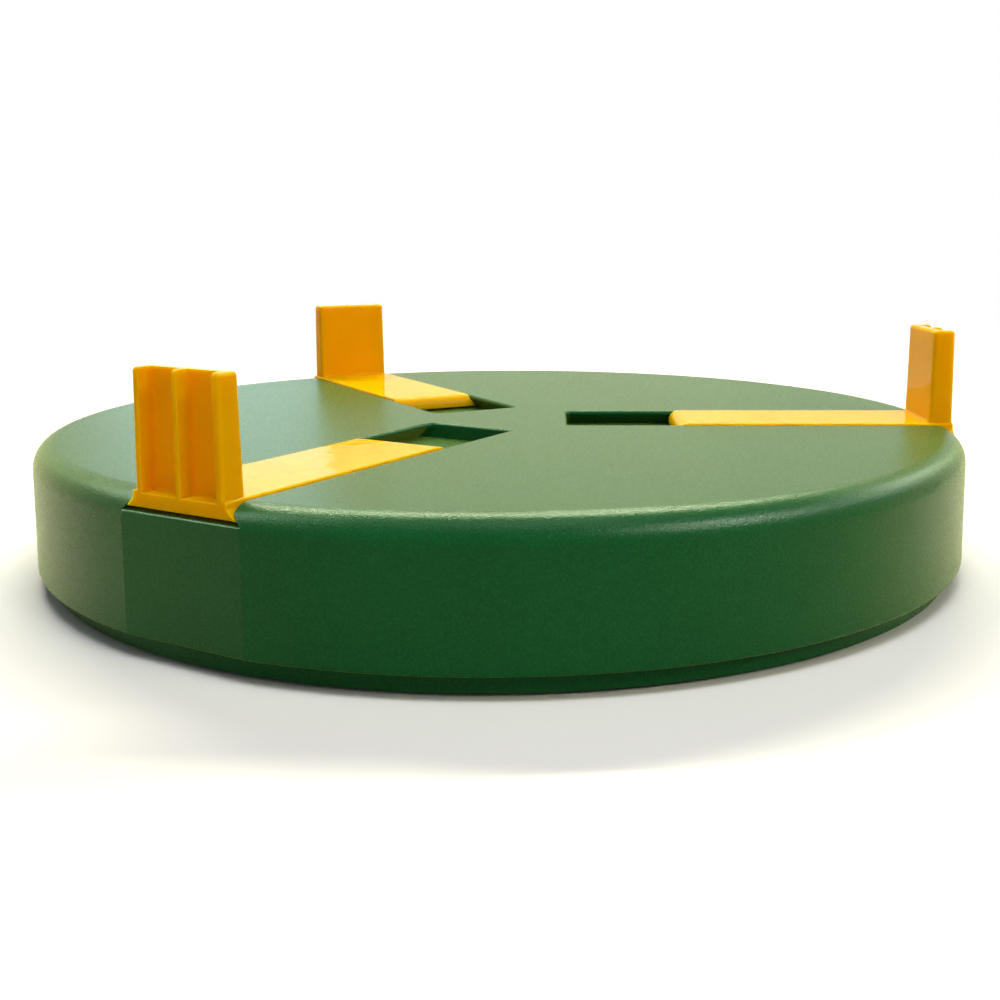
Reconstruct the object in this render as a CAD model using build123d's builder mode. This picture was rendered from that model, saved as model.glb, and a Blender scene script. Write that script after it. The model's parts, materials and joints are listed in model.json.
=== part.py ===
from build123d import *

import os
from math import cos, radians, sin, sqrt, tan

os.makedirs("parts", exist_ok=True)

# Turntable stand with three sliding clamp jaws. Lengths are in millimetres and angles in degrees.
# The stand turns about Z, its feet stand on Z = 0 and the first jaw points along +X.

# Deck: the turning top moulding
deck_radius = 150.0
deck_height = 37.5
deck_wall = 3.5
skirt_wall = 3.2
skirt_draft = 1.0
rim_fillet = 7.0
skirt_edge_fillet = 0.6
deck_rib_width = 2.0
deck_rib_depth = 6.8
deck_rib_spread = 18.0

# Dovetail channels in the deck
jaw_count = 3
channel_width = 32.0
channel_depth = 5.0
channel_floor = 2.5
channel_wall = 2.5
channel_end_radius = 21.0
channel_corner_fillet = 2.0
channel_edge_fillet = 1.0
lip_fillet = 0.8
dovetail_land = 1.2
dovetail_angle = 45.0

# Jaws
jaw_travel = 35.0
jaw_stop_gap = 1.5
jaw_setback = 0.5
slide_clearance = 0.5
bar_depth = 4.1
bar_proud = 0.4
bar_edge_fillet = 0.6
bar_end_fillet = 0.8
nose_radius = 3.6
upright_height = 30.4
upright_thickness = 7.5
upright_side_step = 0.7
upright_side_draft = 0.8
upright_inner_draft = 0.25
upright_outer_draft = 1.0
upright_edge_fillet = 1.2
cove_radius = 1.0
cove_inset = 1.5
rib_edge_fillet = 0.3
side_rib_width = 2.3
middle_rib_width = 1.5
pocket_depth = 4.0
pocket_sink = 0.6
pocket_fillet = 1.0

# Stop screws and slide washers under the jaws
stop_boss_radius = 3.4
stop_slot_clearance = 0.3
slide_washer_radius = 6.5
slide_washer_thickness = 1.2
slide_washer_float = 0.4
slide_washer_margin = 10.5
stop_screw_radius = 1.5
stop_screw_length = 8.0
stop_head_radius = 3.4
stop_head_height = 2.4
stop_head_fillet = 0.9

# Base plate
foot_stand = 1.0
base_step = 5.3
base_floor = 3.0
base_rim_wall = 3.0
base_rim_lap = 6.0
base_edge_fillet = 1.0
skirt_gap = 1.15
base_rib_count = 12
base_rib_width = 2.0
base_rib_height = 6.0

# Rolling ring of balls between base plate and deck
ball_count = 24
ball_radius = 4.0
ball_clearance = 0.2
race_width = 14.0
race_inset = 10.3
race_cover = 0.3
race_half_gap = 1.5
race_wall = 2.5
race_web = 2.8
cage_width = 12.0
cage_thickness = 2.0

# Pivot in the middle
spigot_radius = 10.0
spigot_clearance = 0.05
shoulder_radius = 14.0
shoulder_gap = 0.3
bush_wall = 3.0
bush_flange_radius = 16.5
bush_flange_thickness = 2.0
hub_height = 20.0
hub_wall = 4.0
insert_radius = 6.0
insert_length = 14.0
pivot_screw_radius = 3.0
pivot_screw_length = 14.0
pivot_head_radius = 5.5
pivot_head_height = 3.8
pivot_head_fillet = 1.5
pivot_head_gap = 0.4
hex_key_width = 4.0
hex_key_depth = 2.0
retaining_washer_radius = 16.0
retaining_washer_thickness = 2.0
retaining_washer_gap = 0.3
retaining_washer_room = 1.0
cap_thickness = 1.5
cap_inset = 0.3
cap_skirt = 2.5
cap_wall = 1.4
cap_clearance = 0.05
thread_clearance = 0.05
screw_hole_clearance = 0.2

# Feet
foot_count = 6
foot_radius = 7.0
foot_seat = 2.0
foot_edge_fillet = 0.8
foot_margin = 2.0
foot_boss_wall = 2.5
foot_boss_height = 2.0
foot_stem_radius = 2.5
foot_stem_length = 3.5
foot_clearance = 0.05

# Levels of the deck, from its lower edge up
base_bottom = foot_stand
skirt_bottom = base_bottom + base_step
deck_top = skirt_bottom + deck_height
deck_under = deck_top - deck_wall
channel_level = deck_top - channel_depth
trough_bottom = channel_level - channel_floor
jaw_angles = [360 / jaw_count * index for index in range(jaw_count)]
half_sector = 180 / jaw_count


def skirt_radius(level):
    """Outer radius of the skirt, which widens downwards by its draft."""
    return deck_radius + (deck_top - level) * tan(radians(skirt_draft))


# The channel's half widths, and the radius of the skirt's flat under it
channel_half = channel_width / 2
floor_half = channel_half + (channel_depth - dovetail_land) * tan(radians(dovetail_angle))
lip_radius = sqrt(skirt_radius(channel_level) ** 2 - floor_half**2)
flat_foot_radius = sqrt(skirt_radius(skirt_bottom) ** 2 - floor_half**2)
skirt_edge_radius = skirt_radius(skirt_bottom)

# Radii of the base plate and of the rolling ring
base_radius = skirt_edge_radius - skirt_wall - skirt_gap
base_rim_inner = base_radius - base_rim_wall
base_rim_top = skirt_bottom + base_rim_lap
floor_top = base_bottom + base_floor
race_outer = base_rim_inner - race_inset
race_inner = race_outer - race_width
ball_circle = (race_outer + race_inner) / 2
groove_radius = ball_radius + ball_clearance
ball_level = trough_bottom - race_cover - groove_radius
deck_race_level = ball_level + race_half_gap
base_race_level = ball_level - race_half_gap
base_web_level = ball_level - groove_radius - race_web

# Levels and radii of the pivot, from the cap up
cap_bottom = base_bottom + cap_inset
cap_top = cap_bottom + cap_thickness
pivot_head_bottom = cap_top + pivot_head_gap
pivot_head_top = pivot_head_bottom + pivot_head_height
spigot_end = pivot_head_top + retaining_washer_thickness
hub_ledge = spigot_end + retaining_washer_gap
hub_recess_radius = retaining_washer_radius + retaining_washer_room
hub_top = floor_top + hub_height
shoulder_level = hub_top + bush_flange_thickness + shoulder_gap
bush_bore_radius = spigot_radius + spigot_clearance
bush_radius = bush_bore_radius + bush_wall
hub_radius = bush_radius + hub_wall
hub_foot_radius = hub_recess_radius + base_floor

# Places along a jaw, outwards from the middle of the stand
bar_end_radius = channel_end_radius + jaw_stop_gap + jaw_travel
jaw_outer_radius = lip_radius - jaw_setback
jaw_inner_radius = jaw_outer_radius - upright_thickness
stop_screw_place = race_inner - slide_washer_margin - slide_washer_radius
bar_top = deck_top + bar_proud
bar_bottom = deck_top - bar_depth
bar_half = channel_half - slide_clearance
bar_land_level = deck_top - dovetail_land - slide_clearance * tan(radians(dovetail_angle / 2))
bar_foot_half = bar_half + (bar_land_level - bar_bottom) * tan(radians(dovetail_angle))
upright_half = bar_half - upright_side_step
slide_washer_top = trough_bottom - slide_washer_float
slide_washer_bottom = slide_washer_top - slide_washer_thickness
stop_slot_width = 2 * (stop_boss_radius + stop_slot_clearance)
stop_slot_middle = stop_screw_place - jaw_travel / 2

# Places of the feet
foot_circle = race_inner - foot_margin - foot_radius
foot_seat_level = base_bottom + foot_seat
foot_boss_top = floor_top + foot_boss_height


def outward_plane(angle, radius):
    """Plane across a jaw's direction at a radius: its x runs around the stand and its y runs up."""
    outward = Vector(cos(radians(angle)), sin(radians(angle)), 0)
    around = Vector(-sin(radians(angle)), cos(radians(angle)), 0)
    return Plane(origin=outward * radius, x_dir=around, z_dir=outward)


def lengthwise_plane(angle):
    """Upright plane along a jaw's direction: its x runs outwards and its y runs up."""
    outward = Vector(cos(radians(angle)), sin(radians(angle)), 0)
    return Plane(origin=(0, 0, 0), x_dir=outward, z_dir=(sin(radians(angle)), -cos(radians(angle)), 0))


def ring_section(inner, outer, low, high, mode=Mode.ADD):
    """Rectangle between two radii and two levels, in a sketch that is revolved about Z."""
    with Locations(((inner + outer) / 2, (low + high) / 2)):
        Rectangle(outer - inner, high - low, mode=mode)


def dovetail_points(top_half, foot_half, top, land, foot):
    """Corners of a channel's or bar's section: upright lands above, and sides that flare out below."""
    right = [(foot_half, foot), (top_half, land), (top_half, top)]
    left = [(-across, level) for across, level in reversed(right)]
    return right + left


def save(piece, name):
    """Name a finished piece and write it to its own file."""
    piece.label = name
    export_step(piece, f"parts/{name}.step")


# Space of one dovetail channel, with rounded corners at its inner end
channel_land_level = deck_top - dovetail_land
channel_points = dovetail_points(channel_half, floor_half, deck_top, channel_land_level, channel_level)
with BuildPart() as channel:
    with BuildSketch(outward_plane(0, channel_end_radius)):
        with BuildLine():
            Polyline(*channel_points, close=True)
        make_face()
    extrude(amount=skirt_edge_radius - channel_end_radius)
    end_edges = channel.faces().sort_by(Axis.X)[0].edges()
    fillet(end_edges - end_edges.filter_by(Axis.Y), channel_corner_fillet)

# Deck: a round shell with a skirt
with BuildPart() as deck:
    with BuildSketch(Plane.XZ):
        with BuildLine():
            Polyline(
                (0, deck_top),
                (deck_radius, deck_top),
                (skirt_edge_radius, skirt_bottom),
                (skirt_edge_radius - skirt_wall, skirt_bottom),
                (deck_radius - skirt_wall, deck_under),
                (0, deck_under),
                close=True,
            )
        make_face()
    revolve(axis=Axis.Z)
    fillet(deck.edges().group_by(Axis.Z)[-1], rim_fillet)

    # Pivot spigot and the ring that holds the upper ball groove
    with BuildSketch(Plane.XZ):
        ring_section(0, shoulder_radius, shoulder_level, deck_under)
        ring_section(0, spigot_radius, spigot_end, shoulder_level)
        ring_section(race_inner, race_outer, deck_race_level, deck_under)
    revolve(axis=Axis.Z)

    # Troughs under the channels
    for angle in jaw_angles:
        with BuildSketch(outward_plane(angle, channel_end_radius - channel_wall)):
            with Locations((0, (trough_bottom + deck_under) / 2)):
                Rectangle(2 * (floor_half + channel_wall), deck_under - trough_bottom)
        extrude(amount=lip_radius - skirt_wall / 2 - channel_end_radius + channel_wall)

    # Stiffening ribs between the channels, from the spigot to the skirt
    rib_start = spigot_radius
    rib_end = deck_radius - skirt_wall / 2
    with BuildSketch(Plane.XY.offset(deck_under - deck_rib_depth)):
        for turn in (-deck_rib_spread, 0, deck_rib_spread):
            with PolarLocations((rib_start + rib_end) / 2, jaw_count, start_angle=half_sector + turn):
                Rectangle(rib_end - rib_start, deck_rib_width)
    extrude(amount=deck_rib_depth)

    # Ball groove
    with BuildSketch(Plane.XZ):
        with Locations((ball_circle, ball_level)):
            Circle(groove_radius)
    revolve(axis=Axis.Z, mode=Mode.SUBTRACT)

    # Dovetail channels, open at the rim, and the flat on the skirt under each of them
    for angle in jaw_angles:
        add(channel.part.rotate(Axis.Z, angle), mode=Mode.SUBTRACT)
        with BuildSketch(lengthwise_plane(angle)):
            with BuildLine():
                Polyline(
                    (lip_radius, channel_level),
                    (flat_foot_radius, skirt_bottom),
                    (skirt_edge_radius, skirt_bottom),
                    (skirt_edge_radius, channel_level),
                    close=True,
                )
            make_face()
        extrude(amount=channel_width, both=True, mode=Mode.SUBTRACT)

    # Slots in the channel floors for the stop screws, and the hole for the threaded insert
    with BuildSketch(Plane.XY.offset(trough_bottom)):
        with PolarLocations(stop_slot_middle, jaw_count):
            SlotCenterToCenter(jaw_travel, stop_slot_width)
    extrude(amount=channel_floor, mode=Mode.SUBTRACT)
    with BuildSketch(Plane.XY.offset(spigot_end)):
        Circle(insert_radius)
    extrude(amount=insert_length, mode=Mode.SUBTRACT)

    # Rounded edges along the channels, at their outer lips and under the skirt
    fillet(deck.edges().filter_by(GeomType.LINE).group_by(Axis.Z)[-1], channel_edge_fillet)
    straight_edges = deck.edges().filter_by(GeomType.LINE)
    floor_edges = straight_edges.filter_by_position(Axis.Z, channel_level, channel_level)
    fillet(floor_edges.sort_by_distance((0, 0, channel_level))[-jaw_count:], lip_fillet)
    fillet(deck.faces().sort_by(Axis.Z)[0].outer_wire().edges(), skirt_edge_fillet)
save(deck.part, "deck")

# Leans of an upright's faces, and its corners at the top
upright_top = bar_top + upright_height
side_lean = tan(radians(upright_side_draft))
inner_lean = tan(radians(upright_inner_draft))
outer_lean = tan(radians(upright_outer_draft))
head_half = upright_half - upright_height * side_lean
inner_head = jaw_inner_radius + upright_height * inner_lean
outer_head = jaw_outer_radius - upright_height * outer_lean
outer_foot = jaw_outer_radius + (bar_top - bar_bottom) * outer_lean
outer_normal = (cos(radians(upright_outer_draft)), 0, sin(radians(upright_outer_draft)))
outer_plane = Plane(origin=(jaw_outer_radius, 0, bar_top), x_dir=(0, 1, 0), z_dir=outer_normal)

# Space of the two pockets in the outer face, which run out at the top and have rounded corners at the back
pocket_run = upright_height + pocket_depth
pocket_near = middle_rib_width / 2
pocket_far = upright_half - side_rib_width
with BuildPart() as pockets:
    with BuildSketch(outer_plane):
        for side in (-1, 1):
            with BuildLine():
                Polyline(
                    (side * pocket_near, -pocket_sink),
                    (side * pocket_far, -pocket_sink),
                    (side * (pocket_far - pocket_run * side_lean), pocket_run),
                    (side * pocket_near, pocket_run),
                    close=True,
                )
            make_face()
    extrude(amount=-pocket_depth)
    fillet(pockets.faces().sort_by(Axis.X)[:2].edges(), pocket_fillet)

# Upright of a jaw: a block that narrows upwards, with rounded edges
with BuildPart() as upright:
    with BuildSketch(outward_plane(0, jaw_inner_radius)):
        with BuildLine():
            Polyline(
                (-upright_half, bar_top),
                (upright_half, bar_top),
                (head_half, upright_top),
                (-head_half, upright_top),
                close=True,
            )
        make_face()
    extrude(amount=upright_thickness)
    with BuildSketch(lengthwise_plane(0)):
        with BuildLine():
            Polyline(
                (jaw_inner_radius, bar_top),
                (jaw_outer_radius, bar_top),
                (outer_head, upright_top),
                (inner_head, upright_top),
                close=True,
            )
        make_face()
    extrude(amount=channel_width, both=True, mode=Mode.INTERSECT)
    fillet(upright.edges() - upright.faces().sort_by(Axis.Z)[0].edges(), upright_edge_fillet)

# Jaw: a dovetail bar with the upright at its outer end
bar_points = dovetail_points(bar_half, bar_foot_half, bar_top, bar_land_level, bar_bottom)
with BuildPart() as jaw:
    with BuildSketch(outward_plane(0, bar_end_radius)) as bar_section:
        with BuildLine():
            Polyline(*bar_points, close=True)
        make_face()
        fillet(bar_section.vertices().group_by(Axis.Y)[-1], bar_edge_fillet)
    extrude(amount=skirt_edge_radius - bar_end_radius)

    # Rounded nose of the bar, and its leaning end in line with the upright's outer face
    with BuildSketch(lengthwise_plane(0)):
        with BuildLine():
            nose = CenterArc((bar_end_radius + nose_radius, bar_top - nose_radius), nose_radius, 90, 90)
            Polyline(nose @ 0, (bar_end_radius, bar_top), nose @ 1)
        make_face()
        with BuildLine():
            Polyline(
                (outer_foot, bar_bottom),
                (jaw_outer_radius, bar_top),
                (skirt_edge_radius, bar_top),
                (skirt_edge_radius, bar_bottom),
                close=True,
            )
        make_face()
    extrude(amount=channel_width, both=True, mode=Mode.SUBTRACT)
    fillet(jaw.edges().filter_by(Axis.Y).group_by(Axis.Z)[0].sort_by(Axis.X)[-1], bar_end_fillet)

    # Upright with the pockets, whose mouths and ledges have rounded edges
    add(upright.part)
    add(pockets.part, mode=Mode.SUBTRACT)
    outer_face = jaw.faces().filter_by(GeomType.PLANE).sort_by(Axis.X)[-1]
    mouth_edges = outer_face.edges().filter_by_position(Axis.Y, -pocket_far, pocket_far)
    mouth_top = upright_top - 2 * upright_edge_fillet
    fillet(mouth_edges.filter_by_position(Axis.Z, bar_bottom, mouth_top, (False, True)), rib_edge_fillet)

    # Cove at the foot of the upright's inner face
    cove_middle = jaw_inner_radius + cove_radius * (inner_lean - 1 / cos(radians(upright_inner_draft)))
    cove_back = jaw_inner_radius + upright_edge_fillet
    with BuildSketch(lengthwise_plane(0)):
        with BuildLine():
            cove = CenterArc((cove_middle, bar_top + cove_radius), cove_radius, -90, 90 - upright_inner_draft)
            Polyline(cove @ 1, (cove_back, (cove @ 1).Y), (cove_back, bar_top), cove @ 0)
        make_face()
    extrude(amount=upright_half - cove_inset, both=True)

    # Boss under the bar that runs in the channel floor's slot, with the stop screw's hole
    with BuildSketch(Plane.XY.offset(slide_washer_top)):
        with Locations((stop_screw_place, 0)):
            Circle(stop_boss_radius)
    extrude(amount=bar_bottom - slide_washer_top)
    with BuildSketch(Plane.XY.offset(slide_washer_top)):
        with Locations((stop_screw_place, 0)):
            Circle(stop_screw_radius)
    extrude(amount=stop_screw_length - slide_washer_thickness, mode=Mode.SUBTRACT)

# Stop screw, driven upwards into the jaw's boss
with BuildPart() as jaw_screw:
    with BuildSketch(Plane.XY.offset(slide_washer_bottom)):
        with Locations((stop_screw_place, 0)):
            Circle(stop_head_radius)
    extrude(amount=-stop_head_height)
    fillet(jaw_screw.edges().group_by(Axis.Z)[0], stop_head_fillet)
    with BuildSketch(Plane.XY.offset(slide_washer_bottom)):
        with Locations((stop_screw_place, 0)):
            Circle(stop_screw_radius - thread_clearance)
    extrude(amount=stop_screw_length)

# Slide washer between the screw's head and the boss
with BuildPart() as jaw_washer:
    with BuildSketch(Plane.XY.offset(slide_washer_bottom)):
        with Locations((stop_screw_place, 0)):
            Circle(slide_washer_radius)
            Circle(stop_screw_radius + screw_hole_clearance, mode=Mode.SUBTRACT)
    extrude(amount=slide_washer_thickness)

for index, angle in enumerate(jaw_angles, start=1):
    save(jaw.part.rotate(Axis.Z, angle), f"jaw_{index}")
    save(jaw_screw.part.rotate(Axis.Z, angle), f"jaw_screw_{index}")
    save(jaw_washer.part.rotate(Axis.Z, angle), f"jaw_washer_{index}")

# Base plate: floor, rim behind the skirt, ring for the lower ball groove and hub
with BuildPart() as base_plate:
    with BuildSketch(Plane.XZ):
        ring_section(hub_recess_radius, base_radius, base_bottom, floor_top)
        ring_section(base_rim_inner, base_radius, base_bottom, base_rim_top)
        ring_section(race_inner, race_outer, base_bottom, base_race_level)
        ring_section(
            race_inner + race_wall, race_outer - race_wall, base_bottom, base_web_level, Mode.SUBTRACT
        )
        with Locations((ball_circle, ball_level)):
            Circle(groove_radius, mode=Mode.SUBTRACT)
        ring_section(hub_recess_radius, hub_foot_radius, base_bottom, hub_ledge)
        ring_section(bush_radius, hub_foot_radius, hub_ledge, hub_ledge + base_floor)
        ring_section(bush_radius, hub_radius, hub_ledge, hub_top)
    revolve(axis=Axis.Z)

    # Ribs on the floor between hub and ball ring
    with BuildSketch(Plane.XY.offset(floor_top)):
        with PolarLocations(
            (hub_foot_radius + race_inner) / 2, base_rib_count, start_angle=180 / base_rib_count
        ):
            Rectangle(race_inner - hub_foot_radius + base_rib_width, base_rib_width)
    extrude(amount=base_rib_height)

    # Bosses, seats and stem holes of the feet
    with BuildSketch(Plane.XY.offset(floor_top)):
        with PolarLocations(foot_circle, foot_count):
            Circle(foot_radius + foot_boss_wall)
    extrude(amount=foot_boss_height)
    with BuildSketch(Plane.XY.offset(base_bottom)):
        with PolarLocations(foot_circle, foot_count):
            Circle(foot_radius + foot_clearance)
    extrude(amount=foot_seat, mode=Mode.SUBTRACT)
    with BuildSketch(Plane.XY.offset(foot_seat_level)):
        with PolarLocations(foot_circle, foot_count):
            Circle(foot_stem_radius + foot_clearance)
    extrude(amount=foot_boss_top - foot_seat_level, mode=Mode.SUBTRACT)
    fillet(base_plate.faces().sort_by(Axis.Z)[0].outer_wire().edges(), base_edge_fillet)
save(base_plate.part, "base_plate")

# Rubber foot: a disc in its seat and a stem pushed through the boss
with BuildPart() as foot:
    with BuildSketch(Plane.XY):
        with Locations((foot_circle, 0)):
            Circle(foot_radius)
    extrude(amount=foot_seat_level)
    fillet(foot.edges().group_by(Axis.Z)[0], foot_edge_fillet)
    with BuildSketch(Plane.XY.offset(foot_seat_level)):
        with Locations((foot_circle, 0)):
            Circle(foot_stem_radius)
    extrude(amount=foot_stem_length)

for index in range(foot_count):
    save(foot.part.rotate(Axis.Z, 360 / foot_count * index), f"foot_{index + 1}")

# Balls that carry the deck
with BuildPart(Plane.XY.offset(ball_level)) as bearing_balls:
    with PolarLocations(ball_circle, ball_count):
        Sphere(ball_radius)
save(bearing_balls.part, "bearing_balls")

# Cage that keeps the balls apart
with BuildPart() as ball_cage:
    with BuildSketch(Plane.XY.offset(ball_level - cage_thickness / 2)):
        Circle(ball_circle + cage_width / 2)
        Circle(ball_circle - cage_width / 2, mode=Mode.SUBTRACT)
        with PolarLocations(ball_circle, ball_count):
            Circle(groove_radius, mode=Mode.SUBTRACT)
    extrude(amount=cage_thickness)
save(ball_cage.part, "ball_cage")

# Flanged bush in the hub
with BuildPart() as hub_bush:
    with BuildSketch(Plane.XZ):
        ring_section(bush_bore_radius, bush_radius, hub_ledge, hub_top)
        ring_section(bush_bore_radius, bush_flange_radius, hub_top, hub_top + bush_flange_thickness)
    revolve(axis=Axis.Z)
save(hub_bush.part, "hub_bush")

# Threaded insert in the spigot's end
with BuildPart() as threaded_insert:
    with BuildSketch(Plane.XY.offset(spigot_end)):
        Circle(insert_radius)
        Circle(pivot_screw_radius, mode=Mode.SUBTRACT)
    extrude(amount=insert_length)
save(threaded_insert.part, "threaded_insert")

# Washer that holds the hub up against the deck
with BuildPart() as retaining_washer:
    with BuildSketch(Plane.XY.offset(pivot_head_top)):
        Circle(retaining_washer_radius)
        Circle(pivot_screw_radius + screw_hole_clearance, mode=Mode.SUBTRACT)
    extrude(amount=retaining_washer_thickness)
save(retaining_washer.part, "retaining_washer")

# Button-head screw with a hexagon socket
with BuildPart() as pivot_screw:
    with BuildSketch(Plane.XY.offset(pivot_head_bottom)):
        Circle(pivot_head_radius)
    extrude(amount=pivot_head_height)
    fillet(pivot_screw.edges().group_by(Axis.Z)[0], pivot_head_fillet)
    with BuildSketch(Plane.XY.offset(pivot_head_top)):
        Circle(pivot_screw_radius - thread_clearance)
    extrude(amount=pivot_screw_length)
    with BuildSketch(Plane.XY.offset(pivot_head_bottom)):
        RegularPolygon(hex_key_width / 2, 6, major_radius=False)
    extrude(amount=hex_key_depth, mode=Mode.SUBTRACT)
save(pivot_screw.part, "pivot_screw")

# Cap that closes the hub's recess from below
with BuildPart() as hub_cap:
    with BuildSketch(Plane.XZ):
        ring_section(0, hub_recess_radius - cap_clearance, cap_bottom, cap_top)
        ring_section(
            hub_recess_radius - cap_wall, hub_recess_radius - cap_clearance, cap_top, cap_top + cap_skirt
        )
    revolve(axis=Axis.Z)
save(hub_cap.part, "hub_cap")
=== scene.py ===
import json
from math import pi, radians

import bpy
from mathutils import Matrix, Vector


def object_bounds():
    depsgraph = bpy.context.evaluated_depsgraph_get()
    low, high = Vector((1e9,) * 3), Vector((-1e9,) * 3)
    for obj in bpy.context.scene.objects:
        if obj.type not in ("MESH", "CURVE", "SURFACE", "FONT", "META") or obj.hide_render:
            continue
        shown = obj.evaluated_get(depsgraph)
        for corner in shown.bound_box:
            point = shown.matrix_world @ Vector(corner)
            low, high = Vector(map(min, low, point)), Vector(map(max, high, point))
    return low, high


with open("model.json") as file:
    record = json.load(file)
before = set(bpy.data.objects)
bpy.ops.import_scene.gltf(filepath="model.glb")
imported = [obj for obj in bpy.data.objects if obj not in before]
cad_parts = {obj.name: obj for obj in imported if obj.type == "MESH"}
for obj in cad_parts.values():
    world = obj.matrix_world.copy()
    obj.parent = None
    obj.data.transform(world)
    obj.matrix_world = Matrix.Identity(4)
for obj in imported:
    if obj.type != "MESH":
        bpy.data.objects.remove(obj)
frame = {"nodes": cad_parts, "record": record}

# Lengths are in metres, angles in degrees and powers in watts, in the frame of the solids.
cad_low, cad_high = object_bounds()
record = frame["record"]

# Camera, at the photo's place and perspective
image_size = 1000
focal_pixels = 1243.0
principal_point = (546.8, 463.3)
sensor_width = 36.0
camera_place = (0.0151, -0.4207, 0.1074)
camera_pitch = 10.70
camera_yaw = -0.10
nearest_seen = 0.01

# Stage
floor_size = 8.0
floor_colour = (0.95, 0.95, 0.95, 1.0)
floor_bounce = (0.58, 0.48, 0.27, 1.0)
floor_fade_start = 0.30
floor_fade_end = 1.10
white = (1.0, 1.0, 1.0, 1.0)
ambient_strength = 0.20
light_target = (0, 0, cad_high.z / 2)

# Surface detail of the green plastic
grain_size = 0.00046
grain_height = 0.00010
pit_size = 0.0008
pit_share = 0.25
# Size of the lighter flecks painted into the colour as glints of the grain
glint_speck_size = 0.0007
mottle_size = 0.035

# Surface detail of the yellow plastic
wave_size = 0.009
wave_height = 0.00018
skin_size = 0.0009
skin_height = 0.000004
cloud_size = 0.012

# Surface detail of the pieces inside and underneath
undyed_cloud_size = 0.006
undyed_grain_size = 0.0006
undyed_grain_height = 0.00001
metal_cloud_size = 0.004
metal_mark_size = 0.0004
metal_mark_height = 0.000006
rubber_cloud_size = 0.005
rubber_grain_size = 0.0005
rubber_grain_height = 0.00003

# Worn edges: their width, and how closely the rounded normal follows the face where it is flat or an edge
edge_reach = 0.0007
edge_samples = 6
flat_match = 0.99
edge_match = 0.80


def node(tree, kind, inputs=None, **settings):
    """Adds a shader node, gives it its settings, and sets or links its inputs."""
    made = tree.nodes.new("ShaderNode" + kind)
    for name, value in settings.items():
        setattr(made, name, value)
    for name, value in (inputs or {}).items():
        if isinstance(value, bpy.types.NodeSocket):
            tree.links.new(value, made.inputs[name])
        else:
            made.inputs[name].default_value = value
    return made


def new_material(name):
    """A material with an empty node tree."""
    material = bpy.data.materials.new(name)
    material.use_nodes = True
    material.node_tree.nodes.clear()
    return material, material.node_tree


def finish_material(tree, surface):
    """Links a shader to the material's output."""
    node(tree, "OutputMaterial", {"Surface": surface})


def place_of(tree):
    """Position in the frame of the solids, at rest."""
    return node(tree, "TexCoord").outputs["Object"]


def noise(tree, size, detail=2.0, roughness=0.5):
    """Value of a cloudy pattern whose lumps have that size."""
    inputs = {"Vector": place_of(tree), "Scale": 1.0 / size, "Detail": detail, "Roughness": roughness}
    return node(tree, "TexNoise", inputs).outputs[0]


def remap(tree, value, low, high, to_low=0.0, to_high=1.0):
    """Takes the range from low to high to another range, and holds it there."""
    inputs = {"Value": value, "From Min": low, "From Max": high, "To Min": to_low, "To Max": to_high}
    return node(tree, "MapRange", inputs).outputs["Result"]


def mix(tree, factor, first, second):
    """Blends two colours."""
    return node(tree, "Mix", {0: factor, 6: first, 7: second}, data_type="RGBA").outputs[2]


def add(tree, first, second):
    """Adds two values."""
    return node(tree, "Math", {0: first, 1: second}, operation="ADD").outputs[0]


def scale(tree, value, factor):
    """Multiplies two values."""
    return node(tree, "Math", {0: value, 1: factor}, operation="MULTIPLY").outputs[0]


def larger(tree, first, second):
    """The larger of two values."""
    return node(tree, "Math", {0: first, 1: second}, operation="MAXIMUM").outputs[0]


def bump(tree, height, distance, normal=None):
    """Normal of a surface with that relief, on top of another normal if one is given."""
    inputs = {"Height": height, "Distance": distance}
    if normal is not None:
        inputs["Normal"] = normal
    return node(tree, "Bump", inputs).outputs["Normal"]


def edge_mask(tree):
    """1 on sharp outer and inner edges, 0 on flat and gently curved faces."""
    rounded = node(tree, "Bevel", {"Radius": edge_reach}, samples=edge_samples).outputs["Normal"]
    normal = node(tree, "NewGeometry").outputs["Normal"]
    match = node(tree, "VectorMath", {0: rounded, 1: normal}, operation="DOT_PRODUCT").outputs["Value"]
    return remap(tree, match, flat_match, edge_match)


def green_plastic():
    """Dark green moulding with a fine spark-eroded grain, lighter flecks painted in as glints of the grain,
    a warm soft sheen and paler edges.
    """
    dark, light = (0.0012, 0.082, 0.020, 1), (0.0018, 0.094, 0.024, 1)
    painted_glint, worn_green = (0.008, 0.14, 0.04, 1), (0.03, 0.21, 0.09, 1)
    material, tree = new_material("green_plastic")
    grain = noise(tree, grain_size, detail=2.0, roughness=0.6)
    pits = node(tree, "TexVoronoi", {"Vector": place_of(tree), "Scale": 1.0 / pit_size}).outputs["Distance"]
    relief = add(tree, grain, scale(tree, pits, pit_share))
    mottle = noise(tree, mottle_size, detail=4.0)
    glint_speck = noise(tree, glint_speck_size, detail=1.0)
    colour = mix(tree, remap(tree, mottle, 0.35, 0.65), dark, light)
    # Lighter flecks at random places: painted glints of the grain, not a colour of the moulding
    colour = mix(tree, remap(tree, glint_speck, 0.40, 0.75, 0.0, 0.5), colour, painted_glint)
    worn = scale(tree, edge_mask(tree), remap(tree, mottle, 0.4, 0.6, 0.1, 0.35))
    surface = node(
        tree,
        "BsdfPrincipled",
        {
            "Base Color": mix(tree, worn, colour, worn_green),
            "Roughness": remap(tree, grain, 0.3, 0.7, 0.20, 0.32),
            "Normal": bump(tree, relief, grain_height),
            "Specular IOR Level": 0.075,
            "Sheen Weight": 0.42,
            "Sheen Roughness": 0.40,
            "Sheen Tint": (0.86, 1.0, 0.10, 1.0),
        },
    )
    finish_material(tree, surface.outputs[0])
    return material


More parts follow.
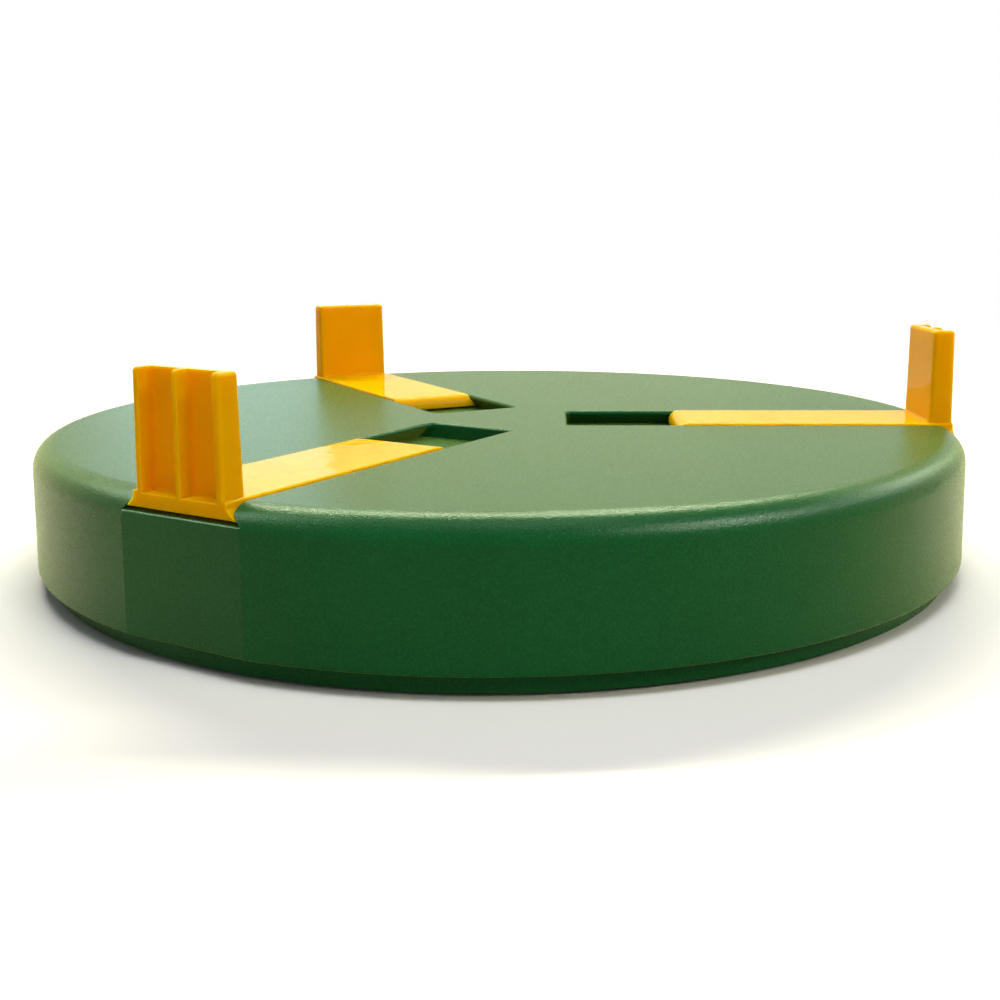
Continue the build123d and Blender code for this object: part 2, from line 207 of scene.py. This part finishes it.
def yellow_plastic():
    """Smooth yellow moulding, slightly translucent, with a gently wavy skin and paler edges."""
    dark, light = (0.81, 0.41, 0.0008, 1), (0.84, 0.435, 0.0012, 1)
    worn_yellow = (0.87, 0.52, 0.01, 1)
    material, tree = new_material("yellow_plastic")
    wave = noise(tree, wave_size, detail=1.0)
    skin = noise(tree, skin_size, detail=2.0)
    cloud = noise(tree, cloud_size, detail=3.0)
    colour = mix(tree, remap(tree, cloud, 0.3, 0.7), dark, light)
    worn = scale(tree, edge_mask(tree), remap(tree, cloud, 0.4, 0.6, 0.05, 0.25))
    surface = node(
        tree,
        "BsdfPrincipled",
        {
            "Base Color": mix(tree, worn, colour, worn_yellow),
            "Roughness": remap(tree, cloud, 0.3, 0.7, 0.06, 0.10),
            "Normal": bump(tree, skin, skin_height, bump(tree, wave, wave_height)),
            "Specular IOR Level": 0.012,
            "Subsurface Weight": 0.85,
            "Subsurface Radius": (1.0, 0.75, 0.03),
            "Subsurface Scale": 0.005,
        },
    )
    finish_material(tree, surface.outputs[0])
    return material


def natural_plastic():
    """Undyed slippery plastic of cage, bush and slide washers."""
    dark, light = (0.72, 0.70, 0.62, 1), (0.80, 0.78, 0.70, 1)
    material, tree = new_material("natural_plastic")
    cloud = noise(tree, undyed_cloud_size, detail=3.0)
    surface = node(
        tree,
        "BsdfPrincipled",
        {
            "Base Color": mix(tree, cloud, dark, light),
            "Roughness": remap(tree, cloud, 0.3, 0.7, 0.35, 0.5),
            "Normal": bump(tree, noise(tree, undyed_grain_size, detail=2.0), undyed_grain_height),
        },
    )
    finish_material(tree, surface.outputs[0])
    return material


def metal(name, dark, light, smoothest, roughest):
    """Metal with fine grinding marks."""
    material, tree = new_material(name)
    cloud = noise(tree, metal_cloud_size, detail=4.0)
    marks = noise(tree, metal_mark_size, detail=3.0, roughness=0.7)
    surface = node(
        tree,
        "BsdfPrincipled",
        {
            "Base Color": mix(tree, cloud, dark, light),
            "Metallic": 1.0,
            "Roughness": remap(tree, marks, 0.3, 0.7, smoothest, roughest),
            "Normal": bump(tree, marks, metal_mark_height),
        },
    )
    finish_material(tree, surface.outputs[0])
    return material


def rubber():
    """Matt black rubber of the feet."""
    dark, light = (0.014, 0.014, 0.015, 1), (0.03, 0.03, 0.03, 1)
    material, tree = new_material("rubber")
    cloud = noise(tree, rubber_cloud_size, detail=4.0)
    surface = node(
        tree,
        "BsdfPrincipled",
        {
            "Base Color": mix(tree, cloud, dark, light),
            "Roughness": remap(tree, cloud, 0.3, 0.7, 0.65, 0.85),
            "Normal": bump(tree, noise(tree, rubber_grain_size, detail=3.0), rubber_grain_height),
        },
    )
    finish_material(tree, surface.outputs[0])
    return material


def dress_solids():
    """Gives each solid the material of its slot in the record."""
    materials = {
        "green_plastic": green_plastic(),
        "yellow_plastic": yellow_plastic(),
        "natural_plastic": natural_plastic(),
        "steel": metal("steel", (0.50, 0.50, 0.51, 1), (0.64, 0.64, 0.65, 1), smoothest=0.16, roughest=0.30),
        "brass": metal("brass", (0.60, 0.38, 0.11, 1), (0.74, 0.51, 0.18, 1), smoothest=0.19, roughest=0.33),
        "rubber": rubber(),
    }
    for subpart in record["subparts"]:
        for slot in frame["nodes"][subpart["node"]].material_slots:
            slot.material = materials[subpart["material_slot"]]


def seen_rays(tree):
    """1 for rays that see the background: from the camera, from a gloss or through glass."""
    path = node(tree, "LightPath").outputs
    camera_or_gloss = larger(tree, path["Is Camera Ray"], path["Is Glossy Ray"])
    return larger(tree, camera_or_gloss, path["Is Transmission Ray"])


def make_floor():
    """Pale floor that keeps the object's shadow, turns white further out and throws back a warm light."""
    half = floor_size / 2
    mesh = bpy.data.meshes.new("floor")
    corners = [(-half, -half, 0), (half, -half, 0), (half, half, 0), (-half, half, 0)]
    mesh.from_pydata(corners, [], [(0, 1, 2, 3)])
    floor = bpy.data.objects.new("floor", mesh)
    bpy.context.scene.collection.objects.link(floor)
    material, tree = new_material("floor")
    away = node(tree, "VectorMath", {0: place_of(tree)}, operation="LENGTH").outputs["Value"]
    seen = seen_rays(tree)
    fade = scale(tree, remap(tree, away, floor_fade_start, floor_fade_end), seen)
    pale = node(tree, "BsdfDiffuse", {"Color": floor_colour}).outputs[0]
    warm = node(tree, "BsdfDiffuse", {"Color": floor_bounce}).outputs[0]
    lit = node(tree, "MixShader", {0: seen, 1: warm, 2: pale}).outputs[0]
    glow = node(tree, "Emission", {"Color": white, "Strength": 1.0}).outputs[0]
    finish_material(tree, node(tree, "MixShader", {0: fade, 1: lit, 2: glow}).outputs[0])
    mesh.materials.append(material)


def make_world():
    """White background, and a weaker even light on the object."""
    world = bpy.data.worlds.new("studio")
    world.use_nodes = True
    tree = world.node_tree
    tree.nodes.clear()
    ambient = node(tree, "Background", {"Color": white, "Strength": ambient_strength}).outputs[0]
    backdrop = node(tree, "Background", {"Color": white, "Strength": 1.0}).outputs[0]
    light = node(tree, "MixShader", {0: seen_rays(tree), 1: ambient, 2: backdrop}).outputs[0]
    node(tree, "OutputWorld", {"Surface": light})
    bpy.context.scene.world = world


def soft_light(name, place, size, power, colour):
    """Soft rectangular light that points at the object and isn't seen by the camera."""
    data = bpy.data.lights.new(name, "AREA")
    data.shape = "RECTANGLE"
    data.size, data.size_y = size
    data.energy = power
    data.color = colour
    lamp = bpy.data.objects.new(name, data)
    lamp.location = place
    lamp.rotation_euler = (Vector(light_target) - Vector(place)).to_track_quat("-Z", "Y").to_euler()
    lamp.visible_camera = False
    bpy.context.scene.collection.objects.link(lamp)
    return lamp


def gloss_panel(name, place, size, power, colour):
    """Soft light that only a gloss shows, for the highlights on the rim."""
    soft_light(name, place, size, power, colour).visible_diffuse = False


def make_lights():
    """Soft studio light from above, behind and the right, and the panels that shine in the gloss."""
    soft_light("panel_light", (-0.1, 0.85, 1.05), size=(1.4, 0.06), power=22.0, colour=(1.0, 0.94, 0.70))
    soft_light("overhead_light", (0.1, -0.45, 1.25), size=(0.8, 0.4), power=8.0, colour=(1.0, 1.0, 1.0))
    soft_light("window_light", (-0.46, 1.35, 0.38), size=(0.32, 0.5), power=0.8, colour=(0.45, 0.78, 1.0))
    soft_light("low_light", (0.0, 1.5, 0.36), size=(0.6, 0.4), power=0.15, colour=(1.0, 0.84, 0.4))
    soft_light("side_light", (1.05, -0.75, 0.80), size=(0.9, 0.08), power=6.0, colour=(1.0, 0.92, 0.70))
    gloss_panel("back_gloss", (-0.1, 0.68, 1.16), size=(1.4, 0.30), power=44.0, colour=(0.86, 1.0, 0.66))
    gloss_panel("left_gloss", (-0.90, 0.08, 0.92), size=(0.9, 0.6), power=36.0, colour=(0.86, 1.0, 0.78))
    gloss_panel("right_gloss", (1.05, 0.46, 0.60), size=(0.9, 0.22), power=9.0, colour=(0.86, 1.0, 0.80))
    gloss_panel("side_gloss", (1.05, -0.70, 0.82), size=(0.7, 0.28), power=40.0, colour=(0.90, 1.0, 0.82))


def make_camera():
    """Camera with the photo's lens, place, tilt and framing."""
    data = bpy.data.cameras.new("camera")
    data.sensor_width = sensor_width
    data.lens = sensor_width * focal_pixels / image_size
    data.shift_x = (image_size / 2 - principal_point[0]) / image_size
    data.shift_y = (principal_point[1] - image_size / 2) / image_size
    data.clip_start = nearest_seen
    camera = bpy.data.objects.new("camera", data)
    camera.location = camera_place
    camera.rotation_euler = (pi / 2 - radians(camera_pitch), 0, -radians(camera_yaw))
    bpy.context.scene.collection.objects.link(camera)
    bpy.context.scene.camera = camera


make_camera()
make_world()
make_floor()
make_lights()
dress_solids()
bpy.context.scene.view_settings.view_transform = "Standard"
